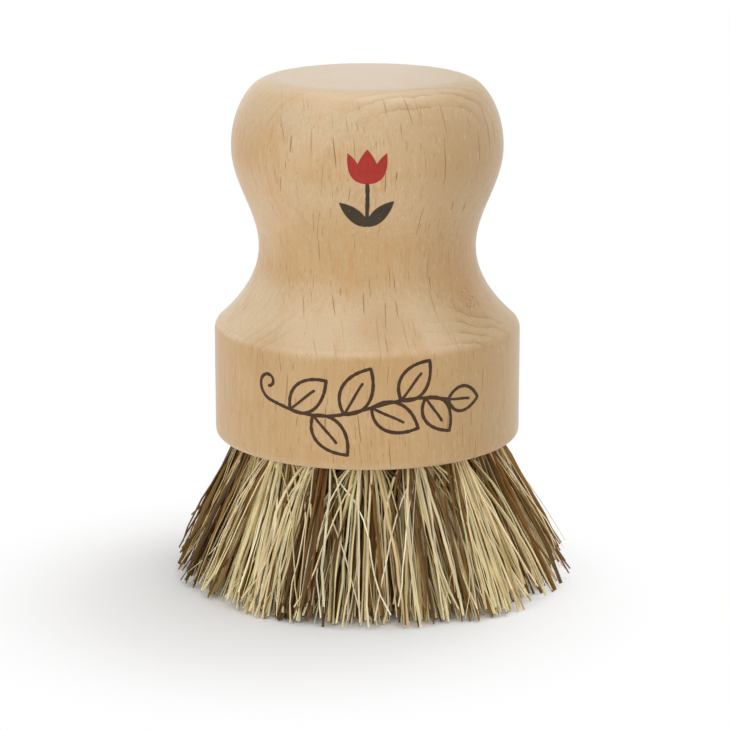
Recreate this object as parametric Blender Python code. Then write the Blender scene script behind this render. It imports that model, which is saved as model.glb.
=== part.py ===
"""A palm-sized wooden dish brush, standing on its bristles.

A turned beech handle has a round head for the palm, a waist for the fingers and a straight
collar. Its underside is drilled with three rings of splayed blind holes. Each hole holds one
tuft of stiff plant fibre, folded double round a flat staple that bites into the hole's walls.
Metres, +Z up. The origin is on the brush's axis, in the plane of the trimmed fibre ends.
"""

import math
import random

import bmesh
import bpy
from mathutils import Matrix, Vector

MM = 0.001

# The handle, upwards from its underside
FIBRE_TRIM = 27.8 * MM
COLLAR_RADIUS = 30.0 * MM
COLLAR_HEIGHT = 22.5 * MM
UNDERSIDE_ROUNDING = 1.3 * MM
SHOULDER_ROUNDING = 1.6 * MM
SHOULDER_SET_BACK = 0.4 * MM
NECK_RADIUS = 21.2 * MM
SHOULDER_TO_NECK = 15.0 * MM
HEAD_RADIUS = 26.4 * MM
NECK_TO_HEAD = 19.6 * MM
HEAD_TO_CROWN = 13.45 * MM
CROWN_RADIUS = 19.4 * MM
CROWN_EDGE_ROUNDING = 2.3 * MM
CROWN_CUT_SHARE = 0.753

# The drilled holes, whose axes all meet at one point above the underside
HOLE_RADIUS = 2.8 * MM
HOLE_DEPTH = 9.0 * MM
DRILL_POINT_DEPTH = 1.2 * MM
FAN_HEIGHT = 52.8 * MM
RIM_WALL = 3.5 * MM
HOLE_WALL = 1.4 * MM

# The flat staple that pins each tuft, and the nicks that it bites in the wood
STAPLE_THICKNESS = 0.5 * MM
STAPLE_HEIGHT = 2.0 * MM
STAPLE_BITE = 0.25 * MM
STAPLE_SET_BACK = 2.0 * MM
SEAT_GAP = 0.3 * MM

# The tufts
TUFT_MOUTH_RECESS = 0.8 * MM
FIBRE_RADIUS = 0.37 * MM
FIBRE_EDGE_MARGIN = 0.15 * MM
FIBRE_TIP_SPREAD = 5.5 * MM
FIBRE_ROOT_SINK = 0.6 * MM
FIBRE_UNEVENNESS = 1.9 * MM
FLAT_CUT = 0.5 * MM
FIBRE_BEND = 0.35 * MM

# Counts, angles and shares
HANDLE_SIDES = 48
HOLE_SIDES = 12
FIBRE_SIDES = 3
FIBRES_PER_TUFT = 12
FIBRE_RING_SHARES = (0.0, 0.55, 1.0)
FIBRE_RIM_SHARE = 0.82
NECK_CURVE_STEPS = 7
HEAD_CURVE_STEPS = 8
DOME_CURVE_STEPS = 7
CORNER_STEPS = 3
STAPLE_TURN = math.radians(45)
GOLDEN_ANGLE = math.pi * (3 - math.sqrt(5))
BROWN_FIBRE_SHARE = 0.4
SHARP_EDGE = math.radians(35)

RING_NAMES = ("outer", "middle", "inner", "centre")
RING_TURN = math.radians(20)

UNDERSIDE_Z = FIBRE_TRIM
SHOULDER_Z = UNDERSIDE_Z + COLLAR_HEIGHT
NECK_Z = SHOULDER_Z + SHOULDER_TO_NECK
HEAD_Z = NECK_Z + NECK_TO_HEAD
CROWN_Z = HEAD_Z + HEAD_TO_CROWN

# The dome of the head is part of an ellipse, which the flat crown cuts off
DOME_WIDTH = (HEAD_RADIUS - CROWN_RADIUS) / CROWN_CUT_SHARE
DOME_HEIGHT = HEAD_TO_CROWN / math.sqrt(1 - (1 - CROWN_CUT_SHARE) ** 2)

# The dome stops where the rounding of the crown's edge begins
DOME_END_SHARE = (HEAD_RADIUS - CROWN_RADIUS - CROWN_EDGE_ROUNDING) / DOME_WIDTH
DOME_END_RISE = DOME_HEIGHT * math.sqrt(1 - (1 - DOME_END_SHARE) ** 2)
DOME_END_ANGLE = math.asin(DOME_END_RISE / HEAD_TO_CROWN)

# The holes draw together inside the wood, and HOLE_WALL is what is left between their inner ends
OUTER_RING_RADIUS = COLLAR_RADIUS - UNDERSIDE_ROUNDING - RIM_WALL - HOLE_RADIUS
HOLE_PITCH = (2 * HOLE_RADIUS + HOLE_WALL) / (1 - HOLE_DEPTH / FAN_HEIGHT)
ROOT_RADIUS = HOLE_RADIUS * math.cos(math.pi / HOLE_SIDES) - SEAT_GAP
ROOT_SPREAD = ROOT_RADIUS - FIBRE_RADIUS - FIBRE_EDGE_MARGIN


def clear_scene():
    for obj in list(bpy.data.objects):
        bpy.data.objects.remove(obj, do_unlink=True)


def make_material(name, colour, roughness, metallic=0.0):
    material = bpy.data.materials.new(name)
    material.use_nodes = True
    shader = material.node_tree.nodes["Principled BSDF"]
    shader.inputs["Base Color"].default_value = (*colour, 1.0)
    shader.inputs["Roughness"].default_value = roughness
    shader.inputs["Metallic"].default_value = metallic
    material.diffuse_color = (*colour, 1.0)
    return material


def add_object(name, mesh, parent=None, frame=None):
    obj = bpy.data.objects.new(name, mesh)
    bpy.context.scene.collection.objects.link(obj)
    obj.parent = parent
    if frame is not None:
        obj.matrix_world = frame
    return obj


def mesh_from(bm, name):
    bmesh.ops.recalc_face_normals(bm, faces=bm.faces)
    mesh = bpy.data.meshes.new(name)
    bm.to_mesh(mesh)
    bm.free()
    return mesh


def boolean(obj, operand, operation):
    modifier = obj.modifiers.new(operation.title(), "BOOLEAN")
    modifier.operation = operation
    modifier.solver = "EXACT"
    modifier.object = operand


def bake_modifiers(obj, *operands):
    """Gives obj the mesh that its modifiers make, and removes them with the operands."""
    bpy.context.view_layer.update()
    graph = bpy.context.evaluated_depsgraph_get()
    obj.data = bpy.data.meshes.new_from_object(obj.evaluated_get(graph))
    obj.modifiers.clear()
    for operand in operands:
        bpy.data.objects.remove(operand, do_unlink=True)


def eased_corner(before, corner, after, size):
    """A corner of the outline rounded off, from size before it to size after it."""
    start = corner + (before - corner).normalized() * size
    end = corner + (after - corner).normalized() * size
    points = []
    for step in range(CORNER_STEPS + 1):
        t = step / CORNER_STEPS
        points.append(start * (1 - t) ** 2 + corner * 2 * t * (1 - t) + end * t**2)
    return points


def dome_point(angle):
    rise = HEAD_TO_CROWN * math.sin(angle)
    inward_share = 1 - math.sqrt(1 - (rise / DOME_HEIGHT) ** 2)
    return Vector((HEAD_RADIUS - DOME_WIDTH * inward_share, HEAD_Z + rise))


def waist_radius(z):
    """The radius between shoulder and head: a parabola down to the neck, then an S curve."""
    if z < NECK_Z:
        drop = (NECK_Z - z) / SHOULDER_TO_NECK
        return NECK_RADIUS + (COLLAR_RADIUS - SHOULDER_SET_BACK - NECK_RADIUS) * drop**2
    rise = (z - NECK_Z) / NECK_TO_HEAD
    return NECK_RADIUS + (HEAD_RADIUS - NECK_RADIUS) * (1 - math.cos(math.pi * rise)) / 2


def evenly(low, high, steps):
    return [low + (high - low) * step / steps for step in range(steps + 1)]


def handle_outline():
    """(radius, height) points down the handle's side, from the crown to the underside."""
    crown_centre = Vector((0, CROWN_Z))
    crown_edge = Vector((CROWN_RADIUS, CROWN_Z))
    dome = [dome_point(angle) for angle in evenly(DOME_END_ANGLE, 0, DOME_CURVE_STEPS)]
    head = [Vector((waist_radius(z), z)) for z in evenly(HEAD_Z, NECK_Z, HEAD_CURVE_STEPS)[1:]]
    neck = [Vector((waist_radius(z), z)) for z in evenly(NECK_Z, SHOULDER_Z, NECK_CURVE_STEPS)[1:-1]]
    shoulder = Vector((COLLAR_RADIUS, SHOULDER_Z))
    low_corner = Vector((COLLAR_RADIUS, UNDERSIDE_Z))
    underside_centre = Vector((0, UNDERSIDE_Z))
    return [
        *eased_corner(crown_centre, crown_edge, dome[0], CROWN_EDGE_ROUNDING),
        *dome,
        *head,
        *neck,
        *eased_corner(neck[-1], shoulder, low_corner, SHOULDER_ROUNDING),
        *eased_corner(shoulder, low_corner, underside_centre, UNDERSIDE_ROUNDING),
    ]


def turned_mesh(outline, name):
    """A solid of revolution with flat ends, spun from its outline."""
    bm = bmesh.new()
    profile = [bm.verts.new((point.x, 0, point.y)) for point in outline]
    edges = [bm.edges.new(pair) for pair in zip(profile, profile[1:])]
    bmesh.ops.spin(
        bm,
        geom=profile + edges,
        cent=(0, 0, 0),
        axis=(0, 0, 1),
        angle=math.tau,
        steps=HANDLE_SIDES,
        use_merge=True,
    )
    bmesh.ops.holes_fill(bm, edges=[edge for edge in bm.edges if edge.is_boundary])
    return mesh_from(bm, name)


def rings():
    """(name, radius at the mouths, number of holes) of each ring, from the rim inwards."""
    radius = OUTER_RING_RADIUS
    for name in RING_NAMES:
        if radius < HOLE_PITCH / 2:
            return
        yield name, radius, int(math.pi / math.asin(HOLE_PITCH / 2 / radius))
        radius -= HOLE_PITCH


def hole_frames():
    """(name, frame) of each hole: its origin is at the mouth and its +Z leaves the wood."""
    for ring_number, (ring, radius, count) in enumerate(rings()):
        splay = math.atan2(radius, FAN_HEIGHT)
        for number in range(count):
            angle = ring_number * RING_TURN + math.tau * number / count
            outward = Matrix.Rotation(angle, 4, "Z")
            mouth = Matrix.Translation((radius, 0, UNDERSIDE_Z))
            tilt = Matrix.Rotation(math.pi - splay, 4, "Y")
            yield f"{ring}_{number + 1:02d}", outward @ mouth @ tilt


def add_drill_bit(bm, frame):
    """The space that the drill clears: a round hole with a conical end."""
    overrun = HOLE_RADIUS
    rings = []
    for z in (overrun, -HOLE_DEPTH):
        ring = bmesh.ops.create_circle(bm, segments=HOLE_SIDES, radius=HOLE_RADIUS)["verts"]
        bmesh.ops.translate(bm, verts=ring, vec=(0, 0, z))
        rings.append(ring)
    point = bm.verts.new((0, 0, -HOLE_DEPTH - DRILL_POINT_DEPTH))
    bm.faces.new(rings[0])
    for i in range(HOLE_SIDES):
        j = (i + 1) % HOLE_SIDES
        bm.faces.new((rings[0][i], rings[0][j], rings[1][j], rings[1][i]))
        bm.faces.new((rings[1][i], rings[1][j], point))
    bmesh.ops.transform(bm, matrix=frame, verts=[*rings[0], *rings[1], point])


def staple_frame():
    """The staple's centre and turn inside its hole."""
    depth = HOLE_DEPTH - STAPLE_SET_BACK - STAPLE_HEIGHT / 2
    return Matrix.Translation((0, 0, -depth)) @ Matrix.Rotation(STAPLE_TURN, 4, "Z")


def add_staple_box(bm, frame, gap):
    """The staple's flat shape, grown by gap all round."""
    length = 2 * (HOLE_RADIUS + STAPLE_BITE + gap)
    size = Matrix.Diagonal((length, STAPLE_THICKNESS + 2 * gap, STAPLE_HEIGHT + 2 * gap, 1))
    bmesh.ops.create_cube(bm, size=1, matrix=frame @ staple_frame() @ size)


def cutter(name, add_shape, frames, *sizes):
    bm = bmesh.new()
    for frame in frames:
        add_shape(bm, frame, *sizes)
    obj = add_object(name, mesh_from(bm, name))
    obj.hide_render = True
    obj.display_type = "WIRE"
    return obj


def make_handle(parent, frames, beech):
    handle = add_object("handle", turned_mesh(handle_outline(), "handle"), parent)
    handle.data.materials.append(beech)
    drills = cutter("drills", add_drill_bit, frames)
    nicks = cutter("nicks", add_staple_box, frames, SEAT_GAP)
    boolean(handle, drills, "DIFFERENCE")
    boolean(handle, nicks, "DIFFERENCE")
    bake_modifiers(handle, drills, nicks)
    handle.data.shade_smooth()
    handle.data.set_sharp_from_angle(angle=SHARP_EDGE)
    return handle


def staple_mesh(steel):
    bm = bmesh.new()
    add_staple_box(bm, Matrix.Identity(4), 0)
    mesh = mesh_from(bm, "staple")
    mesh.materials.append(steel)
    return mesh


def root_mesh(materials):
    """The folded root of a tuft: a plug with a rounded inner end and a slot for its staple."""
    inner_end = -HOLE_DEPTH + SEAT_GAP
    fold = ROOT_RADIUS / 2
    outline = [
        (ROOT_RADIUS, -TUFT_MOUTH_RECESS),
        (ROOT_RADIUS, inner_end + fold),
        (ROOT_RADIUS - fold / 2, inner_end),
    ]
    bm = bmesh.new()
    rings = []
    for ring_radius, z in outline:
        ring = bmesh.ops.create_circle(bm, segments=HOLE_SIDES, radius=ring_radius)["verts"]
        bmesh.ops.translate(bm, verts=ring, vec=(0, 0, z))
        rings.append(ring)
    bm.faces.new(rings[0])
    bm.faces.new(rings[-1])
    for upper, lower in zip(rings, rings[1:]):
        for i in range(HOLE_SIDES):
            j = (i + 1) % HOLE_SIDES
            bm.faces.new((upper[i], upper[j], lower[j], lower[i]))
    root = add_object("root", mesh_from(bm, "root"))
    for material in materials:
        root.data.materials.append(material)
    slot = cutter("slot", add_staple_box, [Matrix.Identity(4)], SEAT_GAP)
    boolean(root, slot, "DIFFERENCE")
    bake_modifiers(root, slot)
    mesh = root.data
    bpy.data.objects.remove(root, do_unlink=True)
    return mesh


def fibre_rings(frame, place, rng):
    """The level cross-sections of one fibre, from inside its tuft's root to its cut end."""
    root = frame @ Vector((*(place * ROOT_SPREAD), -TUFT_MOUTH_RECESS - FIBRE_ROOT_SINK))
    heading = (frame.to_3x3() @ Vector((0, 0, 1))).normalized()
    across = frame.to_3x3() @ Vector((*(place * FIBRE_TIP_SPREAD), 0))
    mouth = frame.translation
    centre_tip = mouth + heading * (mouth.z / -heading.z)
    tip = centre_tip + Vector((across.x, across.y, 0))
    cut_z = max(0.0, rng.uniform(-FLAT_CUT, FIBRE_UNEVENNESS))
    reach = (root.z - cut_z) / root.z
    bend = Vector((rng.uniform(-1, 1), rng.uniform(-1, 1), 0)) * FIBRE_BEND
    turn = rng.uniform(0, math.tau)
    rings = []
    corners = [turn + math.tau * side / FIBRE_SIDES for side in range(FIBRE_SIDES)]
    section = [Vector((math.cos(angle), math.sin(angle), 0)) * FIBRE_RADIUS for angle in corners]
    for share in FIBRE_RING_SHARES:
        along = share * reach
        centre = root.lerp(tip, along) + bend * math.sin(math.pi * along) * along
        rings.append([centre + corner for corner in section])
    return rings


def fibre_places(turn):
    """Evenly packed places in a unit disc, along a golden-angle spiral."""
    for number in range(FIBRES_PER_TUFT):
        radius = math.sqrt((number + FIBRE_RIM_SHARE) / FIBRES_PER_TUFT)
        angle = turn + number * GOLDEN_ANGLE
        yield Vector((math.cos(angle), math.sin(angle))) * radius


def fibres_mesh(frame, turn, rng, materials):
    """All loose fibres of one tuft, in the tuft's own frame."""
    bm = bmesh.new()
    for place in fibre_places(turn):
        brown = rng.random() < BROWN_FIBRE_SHARE
        rings = [[bm.verts.new(corner) for corner in ring] for ring in fibre_rings(frame, place, rng)]
        faces = [bm.faces.new(rings[0]), bm.faces.new(rings[-1])]
        for upper, lower in zip(rings, rings[1:]):
            for i in range(FIBRE_SIDES):
                j = (i + 1) % FIBRE_SIDES
                faces.append(bm.faces.new((upper[i], upper[j], lower[j], lower[i])))
        for face in faces:
            face.material_index = 1 if brown else 0
    bmesh.ops.transform(bm, matrix=frame.inverted(), verts=bm.verts)
    mesh = mesh_from(bm, "fibres")
    for material in materials:
        mesh.materials.append(material)
    return mesh


def make_tuft(name, parent, frame, root, turn, rng, materials):
    tuft = add_object(f"tuft_{name}", root.copy(), parent, frame)
    fibres = add_object("fibres", fibres_mesh(frame, turn, rng, materials), None, frame)
    fibres.hide_render = True
    fibres.display_type = "WIRE"
    boolean(tuft, fibres, "UNION")
    bake_modifiers(tuft, fibres)
    return tuft


def main():
    clear_scene()
    beech = make_material("oiled_beech", (0.60, 0.42, 0.24), 0.5)
    pale = make_material("pale_fibre", (0.62, 0.54, 0.33), 0.6)
    brown = make_material("brown_fibre", (0.12, 0.065, 0.035), 0.55)
    steel = make_material("staple_steel", (0.55, 0.55, 0.56), 0.35, 1.0)
    rng = random.Random(7)
    brush = bpy.data.objects.new("dish_brush", None)
    bpy.context.scene.collection.objects.link(brush)
    holes = list(hole_frames())
    make_handle(brush, [frame for _, frame in holes], beech)
    staple = staple_mesh(steel)
    root = root_mesh((pale, brown))
    for number, (name, frame) in enumerate(holes):
        make_tuft(name, brush, frame, root, number * GOLDEN_ANGLE, rng, (pale, brown))
        add_object(f"staple_{name}", staple, brush, frame)


main()
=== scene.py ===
"""A wooden dish brush on a pale floor: turned beech, folded fibre tufts and a small print."""

import math
import random

import bmesh
import bpy
from mathutils import Matrix, Vector
from mathutils.geometry import delaunay_2d_cdt


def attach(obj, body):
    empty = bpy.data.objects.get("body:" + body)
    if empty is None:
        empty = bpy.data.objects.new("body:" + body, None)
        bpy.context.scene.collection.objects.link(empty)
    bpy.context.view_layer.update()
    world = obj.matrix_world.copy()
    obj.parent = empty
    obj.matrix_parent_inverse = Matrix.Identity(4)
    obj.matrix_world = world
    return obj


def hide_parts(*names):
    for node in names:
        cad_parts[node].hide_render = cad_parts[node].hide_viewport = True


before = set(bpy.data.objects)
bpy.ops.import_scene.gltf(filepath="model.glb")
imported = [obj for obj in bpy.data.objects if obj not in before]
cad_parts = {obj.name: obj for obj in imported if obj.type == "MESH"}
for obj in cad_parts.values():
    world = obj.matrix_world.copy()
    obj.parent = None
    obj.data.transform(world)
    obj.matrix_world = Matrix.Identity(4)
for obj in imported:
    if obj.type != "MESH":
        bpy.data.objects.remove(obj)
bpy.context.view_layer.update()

MM = 0.001
METRES_TO_MM = (1000.0, 1000.0, 1000.0)
RNG = random.Random(2024)

# Handle sizes
UNDERSIDE_Z = 27.8 * MM
SHOULDER_Z = 50.3 * MM
NECK_Z = 65.3 * MM
HEAD_Z = 84.9 * MM
CROWN_Z = 98.35 * MM
COLLAR_RADIUS = 30.0 * MM
SHOULDER_SET_BACK = 0.4 * MM
NECK_RADIUS = 21.2 * MM
HEAD_RADIUS = 26.4 * MM
CROWN_RADIUS = 19.4 * MM
UNDERSIDE_ROUNDING = 1.3 * MM
SHOULDER_ROUNDING = 1.6 * MM
CROWN_EDGE_ROUNDING = 2.3 * MM
CROWN_CUT_SHARE = 0.753
HEAD_TO_CROWN = CROWN_Z - HEAD_Z
DOME_WIDTH = (HEAD_RADIUS - CROWN_RADIUS) / CROWN_CUT_SHARE
DOME_HEIGHT = HEAD_TO_CROWN / math.sqrt(1 - (1 - CROWN_CUT_SHARE) ** 2)
DOME_END_SHARE = (HEAD_RADIUS - CROWN_RADIUS - CROWN_EDGE_ROUNDING) / DOME_WIDTH
DOME_END_RISE = DOME_HEIGHT * math.sqrt(1 - (1 - DOME_END_SHARE) ** 2)
DOME_END_ANGLE = math.asin(DOME_END_RISE / HEAD_TO_CROWN)

# Hole and staple sizes
RINGS = ("outer", "middle", "inner")
HOLE_RADIUS = 2.8 * MM
HOLE_DEPTH = 9.0 * MM
DRILL_POINT_DEPTH = 1.2 * MM
FAN_HEIGHT = 52.8 * MM
HOLE_WALL = 1.4 * MM
RIM_WALL = 3.5 * MM
OUTER_RING_RADIUS = COLLAR_RADIUS - UNDERSIDE_ROUNDING - RIM_WALL - HOLE_RADIUS
HOLE_PITCH = (2 * HOLE_RADIUS + HOLE_WALL) / (1 - HOLE_DEPTH / FAN_HEIGHT)
RING_TURN = math.radians(20)
STAPLE_TURN = math.radians(45)
STAPLE_DEPTH = 7.0 * MM


def srgb(red, green, blue):
    """A colour given as a screen shows it, 0 to 255, in the linear values that nodes take."""
    out = []
    for value in (red, green, blue):
        value /= 255
        out.append(value / 12.92 if value <= 0.04045 else ((value + 0.055) / 1.055) ** 2.4)
    return (*out, 1.0)


def add_object(name, data):
    obj = bpy.data.objects.new(name, data)
    bpy.context.scene.collection.objects.link(obj)
    return obj


def finished_mesh(bm, name):
    mesh = bpy.data.meshes.new(name)
    bm.to_mesh(mesh)
    bm.free()
    return mesh


class Graph:
    """A material's nodes, written one call at a time."""

    def __init__(self, name):
        self.material = bpy.data.materials.new(name)
        self.material.use_nodes = True
        self.tree = self.material.node_tree
        self.surface = self.tree.nodes["Principled BSDF"]

    def feed(self, socket, value):
        if isinstance(value, bpy.types.NodeSocket):
            self.tree.links.new(value, socket)
        else:
            socket.default_value = value

    def feed_surface(self, inputs):
        for name, value in inputs.items():
            self.feed(self.surface.inputs[name], value)

    def node(self, kind, inputs=(), **settings):
        made = self.tree.nodes.new(kind)
        for name, value in settings.items():
            setattr(made, name, value)
        for key, value in dict(inputs).items():
            self.feed(made.inputs[key], value)
        return made

    def math(self, operation, *values):
        return self.node("ShaderNodeMath", enumerate(values), operation=operation).outputs[0]

    def times(self, product, *factors):
        for factor in factors:
            product = self.math("MULTIPLY", product, factor)
        return product

    def plus(self, total, *values):
        for value in values:
            total = self.math("ADD", total, value)
        return total

    def vector(self, operation, *values):
        made = self.node("ShaderNodeVectorMath", enumerate(values), operation=operation)
        return made.outputs["Value" if operation in ("LENGTH", "DOT_PRODUCT") else "Vector"]

    def split(self, vector):
        return self.node("ShaderNodeSeparateXYZ", {0: vector}).outputs

    def join(self, x, y, z):
        return self.node("ShaderNodeCombineXYZ", {0: x, 1: y, 2: z}).outputs[0]

    def coordinates(self):
        """The place in the object's own frame, in mm, and the surface's normal."""
        outputs = self.node("ShaderNodeTexCoord").outputs
        return self.vector("MULTIPLY", outputs["Object"], METRES_TO_MM), outputs["Normal"]

    def gap(self, place, spot):
        return self.vector("LENGTH", self.vector("SUBTRACT", place, spot))

    def noise(self, place, waves, detail=2.0, roughness=0.5, output=0):
        """Noise with about so many waves to a unit of length along each axis."""
        scaled = self.vector("MULTIPLY", place, waves)
        sockets = {"Vector": scaled, "Scale": 1.0, "Detail": detail, "Roughness": roughness}
        return self.node("ShaderNodeTexNoise", sockets).outputs[output]

    def ease(self, value, low, high, start=0.0, end=1.0):
        sockets = {0: value, 1: low, 2: high, 3: start, 4: end}
        made = self.node("ShaderNodeMapRange", sockets, interpolation_type="SMOOTHSTEP")
        return made.outputs[0]

    def mix(self, share, first, second):
        made = self.node("ShaderNodeMix", data_type="RGBA", blend_type="MIX")
        for index, value in ((0, share), (6, first), (7, second)):
            self.feed(made.inputs[index], value)
        return made.outputs[2]

    def over(self, colour, layer, *shares):
        """A colour under a layer, whose share is the product of the shares given."""
        return self.mix(self.times(*shares), colour, layer)

    def bump(self, height, strength, distance):
        sockets = {"Height": height, "Strength": strength, "Distance": distance}
        self.feed(self.surface.inputs["Normal"], self.node("ShaderNodeBump", sockets).outputs[0])


# Beech: distances, places and heights are in mm
PITH_ANGLE = math.radians(113)
PITH_DISTANCE = 52.0
RING_WIDTH = 1.9
RAY_DISTANCE = 74.0
RAY_LEAN = 0.06

# Cell size across, up and outward, greatest half width and half height, faintest, and seed
LONG_RAYS = ((5.0, 13.0, 14.0), 0.10, 5.5, 0.4, 11.0)
BOLD_RAYS = ((2.2, 6.4, 11.0), 0.125, 3.8, 0.15, 3.0)
SMALL_RAYS = ((1.1, 2.8, 8.0), 0.09, 1.25, 0.05, 41.0)

# Heights between which the wood's tone, its painted sheen and the painted light on its bottom rim
# change
RIM_HEIGHTS = (29.8, 28.4)
COLLAR_HEIGHTS = (51.0, 47.0)
WAIST_HEIGHTS = (60.0, 72.0)
HEAD_HEIGHTS = (72.0, 84.0)

# Centre, reach and strength of the warm patches, and of the patches where the rings show most
WARM_SPOTS = (
    ((18.0, -12.0, 62.0), 14.0, 0.68),
    ((3.0, -23.0, 51.0), 10.0, 0.58),
    ((-19.0, -22.0, 47.5), 9.0, 0.35),
)
RING_SPOTS = (
    ((13.0, -19.0, 91.0), 22.0, 0.56),
    ((24.0, -10.0, 81.0), 14.0, 0.4),
    ((-21.0, -13.0, 91.0), 12.0, 0.21),
    ((21.0, -18.0, 54.0), 14.0, 0.62),
    ((-20.0, -17.0, 53.0), 11.0, 0.19),
)
KNOT_PLACE = (19.4, -13.6, 57.4)

PALE_WOOD = srgb(215, 185, 142)
TAN_WOOD = srgb(203, 169, 120)
GOLDEN_WOOD = srgb(204, 163, 108)
# paler cut grain mixed with painted sheen and painted floor bounce, for inclined faces
LOW_CUT_AND_SHEEN = srgb(232, 208, 172)
HIGH_CUT_AND_SHEEN = srgb(212, 189, 156)
# painted light on the rounded bottom rim
RIM_LIGHT = srgb(228, 206, 172)
# painted sheen on the crown
CROWN_SHEEN = srgb(196, 181, 154)
# painted shade for the right side of the handle
RIGHT_SIDE_SHADE = srgb(174, 144, 98)
COLLAR_WOOD = srgb(195, 157, 101)
STREAK = srgb(212, 163, 107)
DASH = srgb(196, 147, 92)
WARM_SPOT = srgb(186, 142, 86)
RING_SPOT = srgb(186, 146, 94)
RING_LINE = srgb(160, 122, 74)
PORE = srgb(236, 213, 178)
KNOT_PATCH = srgb(178, 140, 90)
KNOT_PIN = srgb(126, 88, 50)
FINE_GRAIN = srgb(189, 148, 100)
RAY = srgb(148, 98, 52)


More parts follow.
